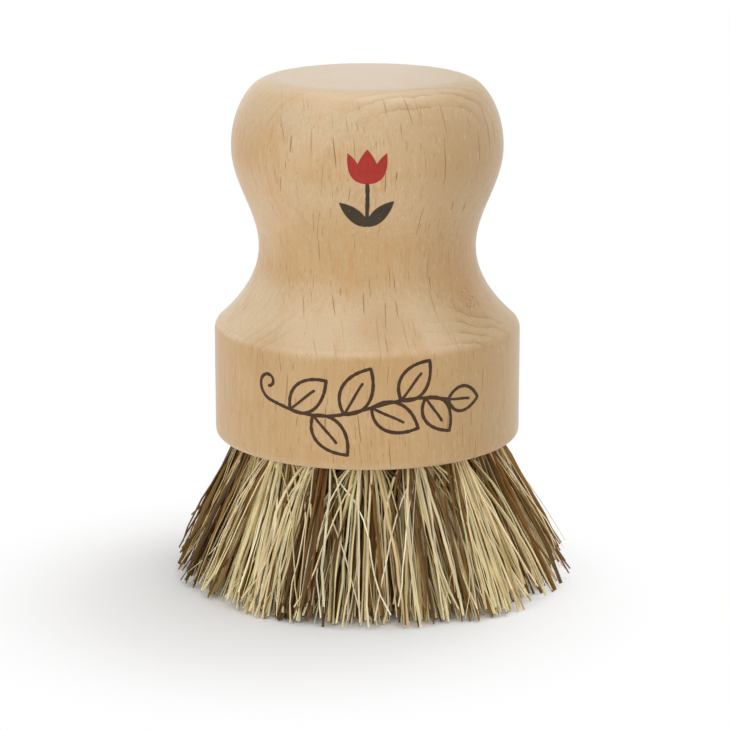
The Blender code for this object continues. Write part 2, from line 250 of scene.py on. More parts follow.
class Beech(Graph):
    """The wood as one solid block, with its rings and rays round the heart of the tree."""

    def __init__(self):
        super().__init__("beech")
        self.place, normal = self.coordinates()
        self.side, _, self.height = self.split(self.place)
        self.rise = self.split(normal)[2]
        self.incline = self.math("ABSOLUTE", self.rise)
        drift = self.noise(self.place, (0.035, 0.035, 0.022), output="Color")
        drift = self.vector("SUBTRACT", drift, (0.5, 0.5, 0.5))
        drift = self.vector("MULTIPLY", drift, (5.0, 5.0, 0.0))
        self.warped = self.vector("ADD", self.place, drift)
        pith = (PITH_DISTANCE * math.cos(PITH_ANGLE), PITH_DISTANCE * math.sin(PITH_ANGLE), 0.0)
        x, y, z = self.split(self.vector("SUBTRACT", self.warped, pith))
        level = self.join(x, y, 0.0)
        self.distance = self.vector("LENGTH", level)
        around = self.times(self.math("ARCTAN2", y, x), PITH_DISTANCE)
        self.tree_place = self.join(around, z, self.distance)

        # how squarely the surface faces the heart: rays are dark there, and rings show beside it
        outward = self.vector("NORMALIZE", level)
        facing = self.math("ABSOLUTE", self.vector("DOT_PRODUCT", outward, normal))
        self.beside = self.ease(facing, 0.97, 0.72)
        self.facing = self.ease(facing, 0.4, 0.85, 0.1, 1.0)

    def ground(self):
        """Golden side grain; paler where the surface is inclined, partly paler cut grain and partly
        painted sheen and floor bounce; painted light on the bottom rim and painted sheen on the
        crown.
        """
        patches = self.noise(self.place, (0.06, 0.06, 0.03), 3.0)
        colour = self.mix(self.ease(patches, 0.35, 0.68), PALE_WOOD, TAN_WOOD)
        bands = self.noise(self.place, (0.05, 0.05, 0.07), 3.0, 0.6)
        upright = self.ease(self.incline, 0.5, 0.1)
        colour = self.over(colour, GOLDEN_WOOD, upright, self.ease(bands, 0.38, 0.62, 0.05, 0.6))
        # inclined faces turn paler: partly paler cut grain, partly painted sheen from above and
        # painted floor bounce from below
        for layer, inclines, heights, shares in (
            (LOW_CUT_AND_SHEEN, (0.15, 0.65), WAIST_HEIGHTS, (0.7, 0.0)),
            (HIGH_CUT_AND_SHEEN, (0.05, 0.4), HEAD_HEIGHTS, (0.0, 0.5)),
        ):
            at_height = self.ease(self.height, *heights, *shares)
            colour = self.over(colour, layer, self.ease(self.incline, *inclines), at_height)
        # painted light: the rounded rim at the bottom is made lighter
        colour = self.over(colour, RIM_LIGHT, self.ease(self.height, *RIM_HEIGHTS, 0.0, 0.4))
        # painted sheen: upward-facing faces of the crown turn paler and greyer
        return self.over(colour, CROWN_SHEEN, self.ease(self.rise, 0.91, 0.99, 0.0, 0.6))

    def streaks(self, colour):
        """Long warm streaks, and short warm dashes in patches."""
        streaks = self.noise(self.warped, (0.2, 0.2, 0.012), 3.0, 0.6)
        colour = self.over(colour, STREAK, self.ease(streaks, 0.5, 0.75, 0.0, 0.5))
        dashes = self.noise(self.warped, (1.1, 1.1, 0.13), 4.0, 0.65)
        dashes = self.ease(dashes, 0.48, 0.64)
        patches = self.noise(self.place, (0.11, 0.11, 0.09), 1.0)
        patches = self.ease(patches, 0.42, 0.6, 0.15, 0.6)
        return self.over(colour, DASH, dashes, patches, self.ease(self.incline, 0.5, 0.15))

    def darker_parts(self, colour):
        """Painted shade on the right side of the handle, the darker collar and the warm spots."""
        # painted shade: the wood darkens towards its right side
        colour = self.over(colour, RIGHT_SIDE_SHADE, self.ease(self.side, 2.0, 26.0), 0.75)
        low = self.ease(self.height, *COLLAR_HEIGHTS, 0.0, 0.35)
        colour = self.over(colour, COLLAR_WOOD, low)
        for spot, reach, strength in WARM_SPOTS:
            near = self.gap(self.place, spot)
            colour = self.over(colour, WARM_SPOT, self.ease(near, reach, 1.0, 0.0, strength))
        return colour

    def growth_rings(self, colour):
        """Rings that are each a pale band with a darker edge, strongest at the ring spots."""
        uneven = self.noise(self.warped, (0.16, 0.16, 0.02), 4.0, 0.55)
        jagged = self.noise(self.warped, (0.9, 0.9, 0.3), 3.0, 0.6)
        rings = self.math("DIVIDE", self.distance, RING_WIDTH)
        rings = self.plus(rings, self.times(uneven, 1.2), self.times(jagged, 0.3))
        saw = self.math("FRACT", rings)
        soft = self.times(self.ease(saw, 0.3, 0.92), self.ease(saw, 1.0, 0.93))
        thin = self.times(self.ease(saw, 0.78, 0.93), self.ease(saw, 1.0, 0.95))
        line = self.plus(self.times(soft, 0.65), self.times(thin, 0.45))
        faded = self.noise(self.place, (0.13, 0.13, 0.16))
        line = self.times(line, self.ease(faded, 0.4, 0.58, 0.3, 1.1))
        shown = self.noise(self.place, (0.05, 0.05, 0.05), 1.0)
        shown = self.ease(shown, 0.4, 0.64, 0.0, 0.16)
        for spot, reach, strength in RING_SPOTS:
            near = self.gap(self.place, spot)
            here = self.ease(near, reach, reach * 0.4, 0.0, strength)
            shown = self.math("MAXIMUM", shown, here)
            ground = self.ease(near, reach * 0.8, 2.0, 0.0, strength * 0.3)
            colour = self.over(colour, RING_SPOT, ground)
        shown = self.times(shown, self.ease(self.rise, 0.8, 1.0, 1.0, 0.55))
        return self.over(colour, RING_LINE, line, shown, self.beside)

    def pores(self, colour):
        """Paler specks where the pores catch the light."""
        specks = self.noise(self.place, (1.7, 1.7, 0.55), 4.0, 0.7)
        return self.over(colour, PORE, self.ease(specks, 0.55, 0.7, 0.0, 0.3))

    def pin_knot(self, colour):
        """A small patch above the shoulder, with a few dark pins in it."""
        near = self.gap(self.place, KNOT_PLACE)
        colour = self.over(colour, KNOT_PATCH, self.ease(near, 5.5, 1.0, 0.0, 0.4))
        pins = self.noise(self.place, (1.9, 1.9, 1.9), 3.0, 0.6)
        pins = self.ease(pins, 0.56, 0.62)
        return self.over(colour, KNOT_PIN, pins, self.ease(near, 3.4, 1.2), 0.8)

    def spindles(self, spread, cell, widest, tallest, faintest, seed):
        """Spindle-shaped rays, one to a cell. Returns 0 to 1."""
        shifted = self.vector("ADD", self.tree_place, (seed, seed * 1.7, seed * 2.3))
        scaled = self.vector("DIVIDE", shifted, cell)
        sockets = {"Vector": scaled, "Scale": 1.0, "Randomness": 1.0}
        cells = self.node("ShaderNodeTexVoronoi", sockets).outputs
        offset = self.vector("SUBTRACT", scaled, cells["Position"])
        across, up, outward = self.split(self.vector("MULTIPLY", offset, cell))
        red, green, blue = self.node("ShaderNodeSeparateColor", {0: cells["Color"]}).outputs
        half_height = self.ease(red, 0.0, 1.0, tallest * 0.25, tallest)
        half_width = self.ease(green, 0.0, 1.0, widest * 0.5, widest)
        lean = self.times(up, self.ease(blue, 0.0, 1.0, -RAY_LEAN, RAY_LEAN))
        across = self.times(self.plus(across, lean), spread)
        shares = ((across, half_width), (up, half_height), (outward, cell[2] * 0.55))
        squares = [self.math("POWER", self.math("DIVIDE", *share), 2.0) for share in shares]
        body = self.ease(self.plus(*squares), 1.0, 0.5)
        strength = self.math("FRACT", self.times(red, 7.3))
        return self.times(body, self.ease(strength, 0.0, 1.0, faintest, 1.0))

    def rays(self):
        """How dark the rays are at each place. They keep their width away from the heart."""
        spread = self.math("DIVIDE", self.distance, RAY_DISTANCE)
        large = self.math(
            "MAXIMUM", self.spindles(spread, *BOLD_RAYS), self.spindles(spread, *LONG_RAYS)
        )
        small = self.spindles(spread, *SMALL_RAYS)
        small = self.times(small, self.ease(spread, 0.35, 0.75, 0.15, 0.6))
        return self.times(self.math("MAXIMUM", large, small), self.facing, 0.85)


def beech_material():
    wood = Beech()
    colour = wood.ground()
    for layer in (wood.streaks, wood.darker_parts, wood.growth_rings, wood.pores, wood.pin_knot):
        colour = layer(colour)
    grain = wood.noise(wood.warped, (3.1, 3.1, 0.11), 4.0, 0.65)
    fine = wood.times(wood.ease(grain, 0.35, 0.65), wood.ease(wood.incline, 0.65, 0.25, 0.45, 1.0))
    rays = wood.rays()
    colour = wood.over(colour, FINE_GRAIN, fine, 0.36)
    wood.feed_surface({
        "Base Color": wood.over(colour, RAY, rays),
        "Roughness": wood.ease(grain, 0.2, 0.8, 0.36, 0.5),
        "Specular IOR Level": 0.5,
        "Sheen Weight": 0.3,
        "Sheen Roughness": 0.35,
    })
    height = wood.math("SUBTRACT", wood.times(fine, -0.25), wood.times(rays, 0.4))
    wood.bump(height, 0.3, 0.1 * MM)
    return wood.material


# Handle
def eased_corner(before, corner, after, size, steps=8):
    start = corner + (before - corner).normalized() * size
    end = corner + (after - corner).normalized() * size
    points = []
    for step in range(steps + 1):
        t = step / steps
        points.append(start * (1 - t) ** 2 + corner * 2 * t * (1 - t) + end * t**2)
    return points


def dome_point(angle):
    rise = HEAD_TO_CROWN * math.sin(angle)
    inward = 1 - math.sqrt(1 - (rise / DOME_HEIGHT) ** 2)
    return Vector((HEAD_RADIUS - DOME_WIDTH * inward, HEAD_Z + rise))


def waist_radius(z):
    if z < NECK_Z:
        drop = (NECK_Z - z) / (NECK_Z - SHOULDER_Z)
        return NECK_RADIUS + (COLLAR_RADIUS - SHOULDER_SET_BACK - NECK_RADIUS) * drop**2
    rise = (z - NECK_Z) / (HEAD_Z - NECK_Z)
    return NECK_RADIUS + (HEAD_RADIUS - NECK_RADIUS) * (1 - math.cos(math.pi * rise)) / 2


def side_radius(z):
    """The handle's radius at a height between the underside and the crown."""
    if z <= SHOULDER_Z:
        return COLLAR_RADIUS
    if z <= HEAD_Z:
        return waist_radius(z)
    return HEAD_RADIUS - DOME_WIDTH * (1 - math.sqrt(1 - ((z - HEAD_Z) / DOME_HEIGHT) ** 2))


def evenly(low, high, steps):
    return [low + (high - low) * step / steps for step in range(steps + 1)]


def handle_outline():
    """(radius, height) of the turned side, from the crown down to the underside."""
    crown_centre = Vector((0, CROWN_Z))
    crown_edge = Vector((CROWN_RADIUS, CROWN_Z))
    dome = [dome_point(angle) for angle in evenly(DOME_END_ANGLE, 0, 20)]
    head = [Vector((waist_radius(z), z)) for z in evenly(HEAD_Z, NECK_Z, 26)[1:]]
    neck = [Vector((waist_radius(z), z)) for z in evenly(NECK_Z, SHOULDER_Z, 22)[1:-1]]
    shoulder = Vector((COLLAR_RADIUS, SHOULDER_Z))
    low_corner = Vector((COLLAR_RADIUS, UNDERSIDE_Z))
    underside_centre = Vector((0, UNDERSIDE_Z))
    return [
        *eased_corner(crown_centre, crown_edge, dome[0], CROWN_EDGE_ROUNDING, 10),
        *dome,
        *head,
        *neck,
        *eased_corner(neck[-1], shoulder, low_corner, SHOULDER_ROUNDING),
        *eased_corner(shoulder, low_corner, underside_centre, UNDERSIDE_ROUNDING),
    ]


def hole_frames():
    """(ring, number, angle, frame) of each hole: the frame is at the mouth, its +Z outward."""
    radius = OUTER_RING_RADIUS
    for ring_number, ring in enumerate(RINGS):
        splay = math.atan2(radius, FAN_HEIGHT)
        count = int(math.pi / math.asin(HOLE_PITCH / 2 / radius))
        for number in range(count):
            angle = ring_number * RING_TURN + math.tau * number / count
            mouth = Matrix.Translation((radius, 0, UNDERSIDE_Z))
            tilt = Matrix.Rotation(math.pi - splay, 4, "Y")
            yield ring, number, angle, Matrix.Rotation(angle, 4, "Z") @ mouth @ tilt
        radius -= HOLE_PITCH


def drill_mesh(frames, sides=28):
    bm = bmesh.new()
    for matrix in frames:
        rings = []
        for z in (HOLE_RADIUS, -HOLE_DEPTH):
            ring = bmesh.ops.create_circle(bm, segments=sides, radius=HOLE_RADIUS)["verts"]
            bmesh.ops.translate(bm, verts=ring, vec=(0, 0, z))
            rings.append(ring)
        point = bm.verts.new((0, 0, -HOLE_DEPTH - DRILL_POINT_DEPTH))
        bm.faces.new(rings[0])
        for i in range(sides):
            j = (i + 1) % sides
            bm.faces.new((rings[0][i], rings[0][j], rings[1][j], rings[1][i]))
            bm.faces.new((rings[1][i], rings[1][j], point))
        bmesh.ops.transform(bm, matrix=matrix, verts=[*rings[0], *rings[1], point])
    bmesh.ops.recalc_face_normals(bm, faces=bm.faces)
    return finished_mesh(bm, "drills")


def turned_mesh(sides=192):
    bm = bmesh.new()
    profile = [bm.verts.new((point.x, 0, point.y)) for point in handle_outline()]
    edges = [bm.edges.new(pair) for pair in zip(profile, profile[1:])]
    bmesh.ops.spin(
        bm,
        geom=profile + edges,
        cent=(0, 0, 0),
        axis=(0, 0, 1),
        angle=math.tau,
        steps=sides,
        use_merge=True,
    )
    bmesh.ops.holes_fill(bm, edges=[edge for edge in bm.edges if edge.is_boundary])
    bmesh.ops.recalc_face_normals(bm, faces=bm.faces)
    return finished_mesh(bm, "handle_turned")


def make_handle(frames, material):
    handle = add_object("handle_turned", turned_mesh())
    drills = add_object("drills", drill_mesh(frames))
    cut = handle.modifiers.new("drilled", "BOOLEAN")
    cut.operation = "DIFFERENCE"
    cut.solver = "EXACT"
    cut.object = drills
    bpy.context.view_layer.update()
    graph = bpy.context.evaluated_depsgraph_get()
    handle.data = bpy.data.meshes.new_from_object(handle.evaluated_get(graph))
    handle.modifiers.clear()
    bpy.data.objects.remove(drills, do_unlink=True)
    handle.data.materials.clear()
    handle.data.materials.append(material)
    handle.data.shade_smooth()
    handle.data.set_sharp_from_angle(angle=math.radians(32))
    return handle


# Fibre colours, each with its weight in the mixture
PALE = (
    (srgb(240, 222, 178), 26),
    (srgb(230, 211, 162), 22),
    (srgb(248, 237, 205), 20),
    (srgb(219, 198, 144), 13),
    (srgb(203, 175, 116), 7),
    (srgb(214, 206, 156), 12),
)
BROWN = (
    (srgb(102, 77, 40), 28),
    (srgb(130, 96, 48), 26),
    (srgb(88, 67, 35), 20),
    (srgb(152, 104, 50), 15),
    (srgb(170, 118, 58), 7),
)

# Brown share of each tuft
BROWN_SHARES = {
    "outer": (
        0.08, 0.1, 0.12, 0.16, 0.1, 0.16, 0.12, 0.14,
        0.34, 0.22, 0.13, 0.24, 0.15, 0.03, 0.02, 0.02,
    ),
    "middle": (0.14, 0.2, 0.18, 0.22, 0.18, 0.22, 0.22, 0.26, 0.07, 0.18),
    "inner": (0.22, 0.18, 0.22),
}

# How far a tuft's tips spread inward, outward and sideways, in mm
TIP_SPREAD = {"outer": (7.4, 3.8, 8.2), "middle": (7.4, 7.4, 8.0), "inner": (8.0, 7.0, 8.0)}

# The skirt of fibres isn't quite round: mm further out on the right, in front and between
SKEW_RIGHT = 0.9
SKEW_FRONT = 1.8
SKEW_CORNER = 2.2
TIP_LIMIT = 39.0 * MM
SIDE_TIP_LIMIT = 35.9 * MM
SIDE_LOOSE_REACH = 1.2 * MM

# How much the tips and curves of fibres differ, in mm
TIP_WANDER = 1.5
STRAY_WANDER = 5.0
EDGE_WANDER = 1.5
CUT_WANDER = 0.8
STRAY_HEIGHT = 4.0
SHORT_BY = (0.5, 3.4)
SIDE_SHORT_BY = (0.5, 5.0)
SWAY = 2.1
LOOSE_SWAY = 3.0
STRAY_SWAY = 5.0

# Shares of fibres that are cut short, and chances of brown in and out of the brown part
SHORT_SHARE = 0.14
LOOSE_SHORT_SHARE = 0.3
BROWN_INSIDE = 0.85
BROWN_OUTSIDE = 0.05

# How a fibre leaves the mouth: along the hole, straight to its tip and away from the axis
LEAVE_ALONG = 0.12
LEAVE_STRAIGHT = 0.88
LEAVE_ASIDE = 0.5

# A fibre's strip of the UV map: margins, and places and size of its two end caps
STRIP_MARGIN = 0.06
STRIP_END = 0.02
CAP_PLACES = (0.006, 0.994)
CAP_WIDTH = 0.4
CAP_HEIGHT = 0.005

FIBRE_ENDS = 96
CLUMPS = 7
FILLERS = 12
LOOSE_HAIRS = 6
OUT_STEPS = 8
PALE_WIDTHS = (0.26, 0.36, 0.42, 0.46, 0.5, 0.64)
BROWN_WIDTHS = (0.45, 0.6, 0.75, 0.9, 1.15)
TUFT_SEED = 2000

# The fold over the staple, which is drawn in a little and stays clear of the hole's end
FOLD_ANGLES = (0, 45, 90, 135, 180)
FOLD_DRAW = 0.86
FOLD_END_GAP = 0.15 * MM
STAPLE_CLEARANCE = 0.27 * MM


def drawn(palette):
    colours, weights = zip(*palette)
    colour = RNG.choices(colours, weights)[0]
    light = RNG.uniform(0.88, 1.12)
    return tuple(min(1.0, value * light * RNG.uniform(0.97, 1.03)) for value in colour[:3])


def blended(first, second, share):
    """So much of the first colour, and the rest of the second."""
    return [a * share + b * (1 - share) for a, b in zip(first, second)]


def fibre_material():
    graph = Graph("mixed_fibre")
    tint = graph.node("ShaderNodeAttribute", attribute_name="fibre_tint").outputs["Color"]
    run = graph.node("ShaderNodeAttribute", attribute_name="fibre_run").outputs["Vector"]
    streak = graph.noise(run, (2.4, 2.4, 0.16), 3.0, 0.6)
    patch = graph.noise(run, (0.4, 0.4, 0.09))
    shade = graph.ease(streak, 0.25, 0.75, 0.78, 1.26)
    shade = graph.times(shade, graph.ease(patch, 0.3, 0.7, 0.88, 1.14))
    graph.feed_surface({
        "Base Color": graph.vector("MULTIPLY", tint, graph.join(shade, shade, shade)),
        "Roughness": graph.ease(streak, 0.2, 0.8, 0.42, 0.62),
        "Specular IOR Level": 0.2,
    })
    graph.bump(streak, 0.4, 0.06 * MM)
    return graph.material


def hermite(start, start_slope, end, end_slope, t):
    """A point on the curve that leaves its start and meets its end with the given slopes."""
    square, cube = t**2, t**3
    point = start * (2 * cube - 3 * square + 1) + start_slope * (cube - 2 * square + t)
    return point + end * (3 * square - 2 * cube) + end_slope * (cube - square)


class Tuft:
    """Hairpins of fibre folded round one staple, all in world coordinates."""

    def __init__(self, ring, angle, matrix, brown_share):
        self.ring = ring
        self.radial = Vector((math.cos(angle), math.sin(angle), 0))
        self.tangent = Vector((-math.sin(angle), math.cos(angle), 0))
        self.matrix = matrix
        self.staple = matrix @ Matrix.Rotation(STAPLE_TURN, 4, "Z")
        self.heading = (matrix.to_3x3() @ Vector((0, 0, 1))).normalized()
        mouth = matrix.translation.copy()
        self.centre_tip = mouth + self.heading * (mouth.z / -self.heading.z)
        self.verts, self.faces, self.tints, self.runs, self.strips = [], [], [], [], []
        self.clumps = []
        for _ in range(CLUMPS):
            place = Vector((RNG.uniform(-1, 1), RNG.uniform(-1, 1)))
            shift = self.radial * RNG.gauss(0, 1.3 * MM) + self.tangent * RNG.gauss(0, 1.9 * MM)
            self.clumps.append((place, shift, drawn(PALE)))
        self.at_side = abs(self.radial.x) > 0.85
        turn = RNG.uniform(-0.3, 0.3) if self.at_side else RNG.uniform(-1.2, 1.2)
        self.brown_place = Vector((-math.cos(turn), math.sin(turn)))
        self.brown_place *= 0.8 if self.at_side else RNG.uniform(0.1, 0.5)
        self.brown_reach = math.sqrt(brown_share)
        self.brown = drawn(BROWN)
        right, front = self.radial.x, -self.radial.y
        skew = SKEW_RIGHT * right + SKEW_FRONT * front
        self.skew = (skew + SKEW_CORNER * max(right, 0.0) * max(front, 0.0)) * MM

    def mouth_place(self, x, y):
        """Where in the mouth a fibre stands: 1 at the rim, +X towards the brush's axis."""
        local = self.matrix.inverted() @ self.inside(x, y, 0)
        return Vector((local.x, local.y)) / HOLE_RADIUS

    def from_mouth(self, turn, share):
        """The place over the staple of a fibre at a turn from the mouth's outer side."""
        local = Matrix.Rotation(-STAPLE_TURN, 2) @ Vector((-math.cos(turn), math.sin(turn)))
        local *= share * HOLE_RADIUS
        return local.x, abs(local.y)

    def is_brown(self, x, y):
        near = min((self.mouth_place(x, side) - self.brown_place).length for side in (y, -y))
        return RNG.random() < (BROWN_INSIDE if near < self.brown_reach else BROWN_OUTSIDE)

    def clump(self, x, y):
        place = self.mouth_place(x, y)
        return min(self.clumps, key=lambda clump: (clump[0] - place).length)

    def inside(self, x, y, depth):
        return self.staple @ Vector((x, y, -depth))

    def spread_tip(self, x, y, stray, lean, loose):
        """Where the fibre that leaves the mouth at (x, y) would end if nothing trimmed it."""
        inward, sideways = self.mouth_place(x, y)
        spread_in, spread_out, spread_side = TIP_SPREAD[self.ring]
        away = -inward * (spread_in if inward > 0 else spread_out) * MM
        away += self.skew + (SIDE_LOOSE_REACH if self.at_side and loose else 0)
        wander = (STRAY_WANDER if stray else TIP_WANDER) * MM
        tip = self.centre_tip + self.radial * (away + RNG.gauss(0, wander * 0.8))
        tip += self.tangent * (sideways * spread_side * lean * MM + RNG.gauss(0, wander))
        return tip + self.clump(x, y)[1]

    def trimmed_tip(self, tip, stray, loose):
        """The tip within the skirt's reach, cut at the floor or a little short of it."""
        limit = (SIDE_TIP_LIMIT if self.at_side and not loose else TIP_LIMIT) + self.skew
        trimmed = Vector((tip.x, tip.y, 0))
        if trimmed.length > limit:
            trimmed *= (limit - RNG.uniform(0, EDGE_WANDER) * MM) / trimmed.length
        height = RNG.uniform(0, STRAY_HEIGHT) if stray else abs(RNG.gauss(0, CUT_WANDER))
        trimmed.z = height * MM
        if RNG.random() < (LOOSE_SHORT_SHARE if loose else SHORT_SHARE):
            trimmed.z += RNG.uniform(*(SIDE_SHORT_BY if loose and self.at_side else SHORT_BY)) * MM
        return trimmed

    def free_end(self, x, y, stray, lean, loose):
        """Points from the mouth at (x, y) to the cut tip."""
        start = self.inside(x, y, 0)
        tip = self.spread_tip(x, y, stray, lean, loose)
        lateral = tip - self.centre_tip
        tip = self.trimmed_tip(tip, stray, loose)
        straight = tip - start
        first = self.heading * straight.length * LEAVE_ALONG + straight * LEAVE_STRAIGHT
        first += lateral * LEAVE_ASIDE
        first += self.tangent * lateral.dot(self.tangent) * LEAVE_ASIDE * (lean**2 - 1)
        sway = (STRAY_SWAY if stray else LOOSE_SWAY if loose else SWAY) * MM
        last = straight + self.radial * RNG.gauss(0, sway) + self.tangent * RNG.gauss(0, sway * 1.3)
        points = [hermite(start, first, tip, last, t) for t in evenly(0, 1, OUT_STEPS)]
        for point in points[2:-1]:
            point += Vector([RNG.gauss(0, 0.1) * MM for _ in range(3)])
        return points

    def hairpin(self, x, y, width, thickness, colour, sides, stray=False, lean=1.0, loose=False):
        """One fibre: a free end, the fold over the staple, and another free end."""
        inner = max(y * FOLD_DRAW, STAPLE_CLEARANCE + thickness / 2)
        top = min(0.35 * MM + inner * 0.75, HOLE_DEPTH - STAPLE_DEPTH - FOLD_END_GAP)
        other = (x + RNG.gauss(0, 0.15) * MM, -y + RNG.gauss(0, 0.12) * MM)
        path = self.free_end(x, y, stray, lean, loose)[::-1]
        for angle in FOLD_ANGLES:
            turn = math.radians(angle)
            depth = STAPLE_DEPTH + top * math.sin(turn)
            path.append(self.inside(x * FOLD_DRAW, inner * math.cos(turn), depth))
        path += self.free_end(*other, stray, lean, loose)
        self.add_tube(path, width, thickness, colour, sides, 0.65 if loose else 0.9)

    def add_tube(self, path, width, thickness, colour, sides, tip_size):
        """A flattened tube along a path, twisted a little and narrower at its tips."""
        side_on = (self.staple.to_3x3() @ Vector((1, 0, 0))).normalized()
        phase, twist = RNG.uniform(0, math.pi), RNG.uniform(-1.2, 1.2)
        seed = RNG.uniform(0, 500)
        base = len(self.verts)
        last = len(path) - 1
        lengths = [0.0]
        for a, b in zip(path, path[1:]):
            lengths.append(lengths[-1] + (b - a).length)
        swell = [RNG.uniform(0.9, 1.08) for _ in path]
        for end, near_end in ((0, 1), (-1, -2)):
            swell[end] *= tip_size
            swell[near_end] *= (1 + tip_size) / 2
        for k, centre in enumerate(path):
            direction = (path[min(k + 1, last)] - path[max(k - 1, 0)]).normalized()
            first = (side_on - direction * side_on.dot(direction)).normalized()
            second = direction.cross(first)
            turn = phase + twist * lengths[k] / lengths[-1]
            wide = first * math.cos(turn) + second * math.sin(turn)
            thin = second * math.cos(turn) - first * math.sin(turn)
            for side in range(sides):
                cos, sin = math.cos(math.tau * side / sides), math.sin(math.tau * side / sides)
                offset = wide * (cos * width / 2) + thin * (sin * thickness / 2)
                corner = centre + offset * swell[k]
                corner.z = max(corner.z, 0.0)
                self.verts.append(corner)
                self.tints.append((*colour, 1.0))
                self.runs.append((seed + cos * 0.6, seed * 0.37 + sin * 0.6, lengths[k] / MM))
        self.add_skin(base, lengths, sides)

    def add_skin(self, base, lengths, sides):
        """The tube's side faces and its two end caps, with their places on the fibre's strip."""
        strip = []
        used = 1 - 2 * STRIP_END
        heights = [STRIP_END + used * length / lengths[-1] for length in lengths]
        for k, (v0, v1) in enumerate(zip(heights, heights[1:])):
            low, high = base + k * sides, base + (k + 1) * sides
            for i in range(sides):
                j = (i + 1) % sides
                self.faces.append((low + i, low + j, high + j, high + i))
                u0, u1 = i / sides, (i + 1) / sides
                strip.append(((u0, v0), (u1, v0), (u1, v1), (u0, v1)))
        caps = ((0, range(sides)[::-1]), (len(lengths) - 1, range(sides)))
        for (ring, corners), v in zip(caps, CAP_PLACES):
            self.faces.append(tuple(base + ring * sides + i for i in corners))
            around = [math.tau * i / sides for i in corners]
            cap = [(0.5 + CAP_WIDTH * math.cos(a), v + CAP_HEIGHT * math.sin(a)) for a in around]
            strip.append(tuple(cap))
        self.strips.append(strip)

    def mesh(self, name, material):
        mesh = bpy.data.meshes.new(name)
        mesh.from_pydata(self.verts, [], self.faces)
        tint = mesh.color_attributes.new("fibre_tint", "FLOAT_COLOR", "POINT")
        tint.data.foreach_set("color", [value for colour in self.tints for value in colour])
        run = mesh.attributes.new("fibre_run", "FLOAT_VECTOR", "POINT")
        run.data.foreach_set("vector", [value for place in self.runs for value in place])
        layer = mesh.uv_layers.new(name="OFBake")
        places = []
        used = 1 - 2 * STRIP_MARGIN
        for number, strip in enumerate(self.strips):
            for corners in strip:
                for u, v in corners:
                    places += [(number + STRIP_MARGIN + used * u) / len(self.strips), v]
        layer.data.foreach_set("uv", places)
        mesh.materials.append(material)
        mesh.shade_smooth()
        mesh.set_sharp_from_angle(angle=math.radians(75))
        return mesh


def add_body(tuft):
    """Fibres that fill the hole's mouth, set out evenly by the golden angle."""
    golden = math.pi * (3 - math.sqrt(5))
    turn = RNG.uniform(0, math.tau)
    reach = HOLE_RADIUS - 0.28 * MM
    for place in range(FIBRE_ENDS):
        radius = reach * math.sqrt((place + 0.5) / FIBRE_ENDS)
        x = radius * math.cos(turn + place * golden) + RNG.gauss(0, 0.08) * MM
        y = radius * math.sin(turn + place * golden) + RNG.gauss(0, 0.08) * MM
        if y < 0:
            continue
        if tuft.is_brown(x, y):
            width = RNG.choice(BROWN_WIDTHS) * RNG.uniform(0.9, 1.1) * MM
            thickness = RNG.uniform(0.32, 0.46) * MM
            colour = blended(drawn(BROWN), tuft.brown, 0.5)
            tuft.hairpin(x, y, width, thickness, colour, 6, RNG.random() < 0.08, loose=True)
        else:
            width = RNG.choice(PALE_WIDTHS) * RNG.uniform(0.88, 1.12) * MM
            colour = blended(drawn(PALE), tuft.clump(x, y)[2], 0.5)
            thickness = width * RNG.uniform(0.6, 0.85)
            tuft.hairpin(x, y, width, thickness, colour, 5, RNG.random() < 0.12)


def add_fillers(tuft):
    """Fibres that lean to the sides and close the gaps between tufts."""
    for side in (-1, 1) * (FILLERS // 2):
        x, y = tuft.from_mouth(side * RNG.uniform(0.8, 1.8), RNG.uniform(0.7, 0.92))
        colour = drawn(PALE)
        if RNG.random() < 0.36:
            colour = blended(drawn(BROWN), tuft.brown, 0.3)
        lean = RNG.uniform(1.2, 2.2)
        tuft.hairpin(x, y, RNG.uniform(0.36, 0.62) * MM, 0.34 * MM, colour, 5, lean=lean)


def add_crossing_fibres(tuft):
    for side in (-1, 1, -1, 1):
        x, y = tuft.from_mouth(side * RNG.uniform(0.2, 0.9), 0.9)
        width = RNG.uniform(0.24, 0.42) * MM
        lean = -RNG.uniform(0.6, 2.2)
        tuft.hairpin(x, y, width, width * 0.8, drawn(PALE[:3]), 5, True, lean)


def add_loose_hairs(tuft):
    for _ in range(LOOSE_HAIRS):
        x, y = tuft.from_mouth(RNG.uniform(-1.2, 1.2), 0.86)
        width = RNG.uniform(0.15, 0.24) * MM
        tuft.hairpin(x, y, width, 0.14 * MM, drawn(PALE), 4, True, loose=True)


def make_tuft(ring, number, angle, matrix, material):
    RNG.seed(TUFT_SEED + 100 * RINGS.index(ring) + number)
    tuft = Tuft(ring, angle, matrix, BROWN_SHARES[ring][number])
    add_body(tuft)
    add_fillers(tuft)
    if ring == "outer" and not tuft.at_side:
        add_crossing_fibres(tuft)
    add_loose_hairs(tuft)
    node = f"tuft_{ring}_{number + 1:02d}"
    piece = add_object(f"fibres_{ring}_{number + 1:02d}", tuft.mesh(node, material))
    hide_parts(node)
    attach(piece, "root")


# Print: places on the wood are in mm, x round the front and y up
WOOD_UNDER_INK = srgb(196, 156, 116)
GRID_NUDGE = (0.013, 0.017)  # keeps the grid's points off the outlines
INK_LIFT = 0.03 * MM
INK_SINK = 0.08 * MM
GARLAND_Z = 40.2 * MM
FLOWER_Z = 84.6 * MM
STEM_Z = 78.6 * MM
SPRIG_START = -19.5
SPRIG_END = 16.0
SPRIG_WAVE = 1.7
SPRIG_HALF_WAVELENGTH = 19.0
SPRIG_DROP = 0.2
SPRIG_LINE = 0.66
RIB_LINE = 0.54
STEM_LINE = 0.75
TULIP_LEAF = (7.2, 2.6)

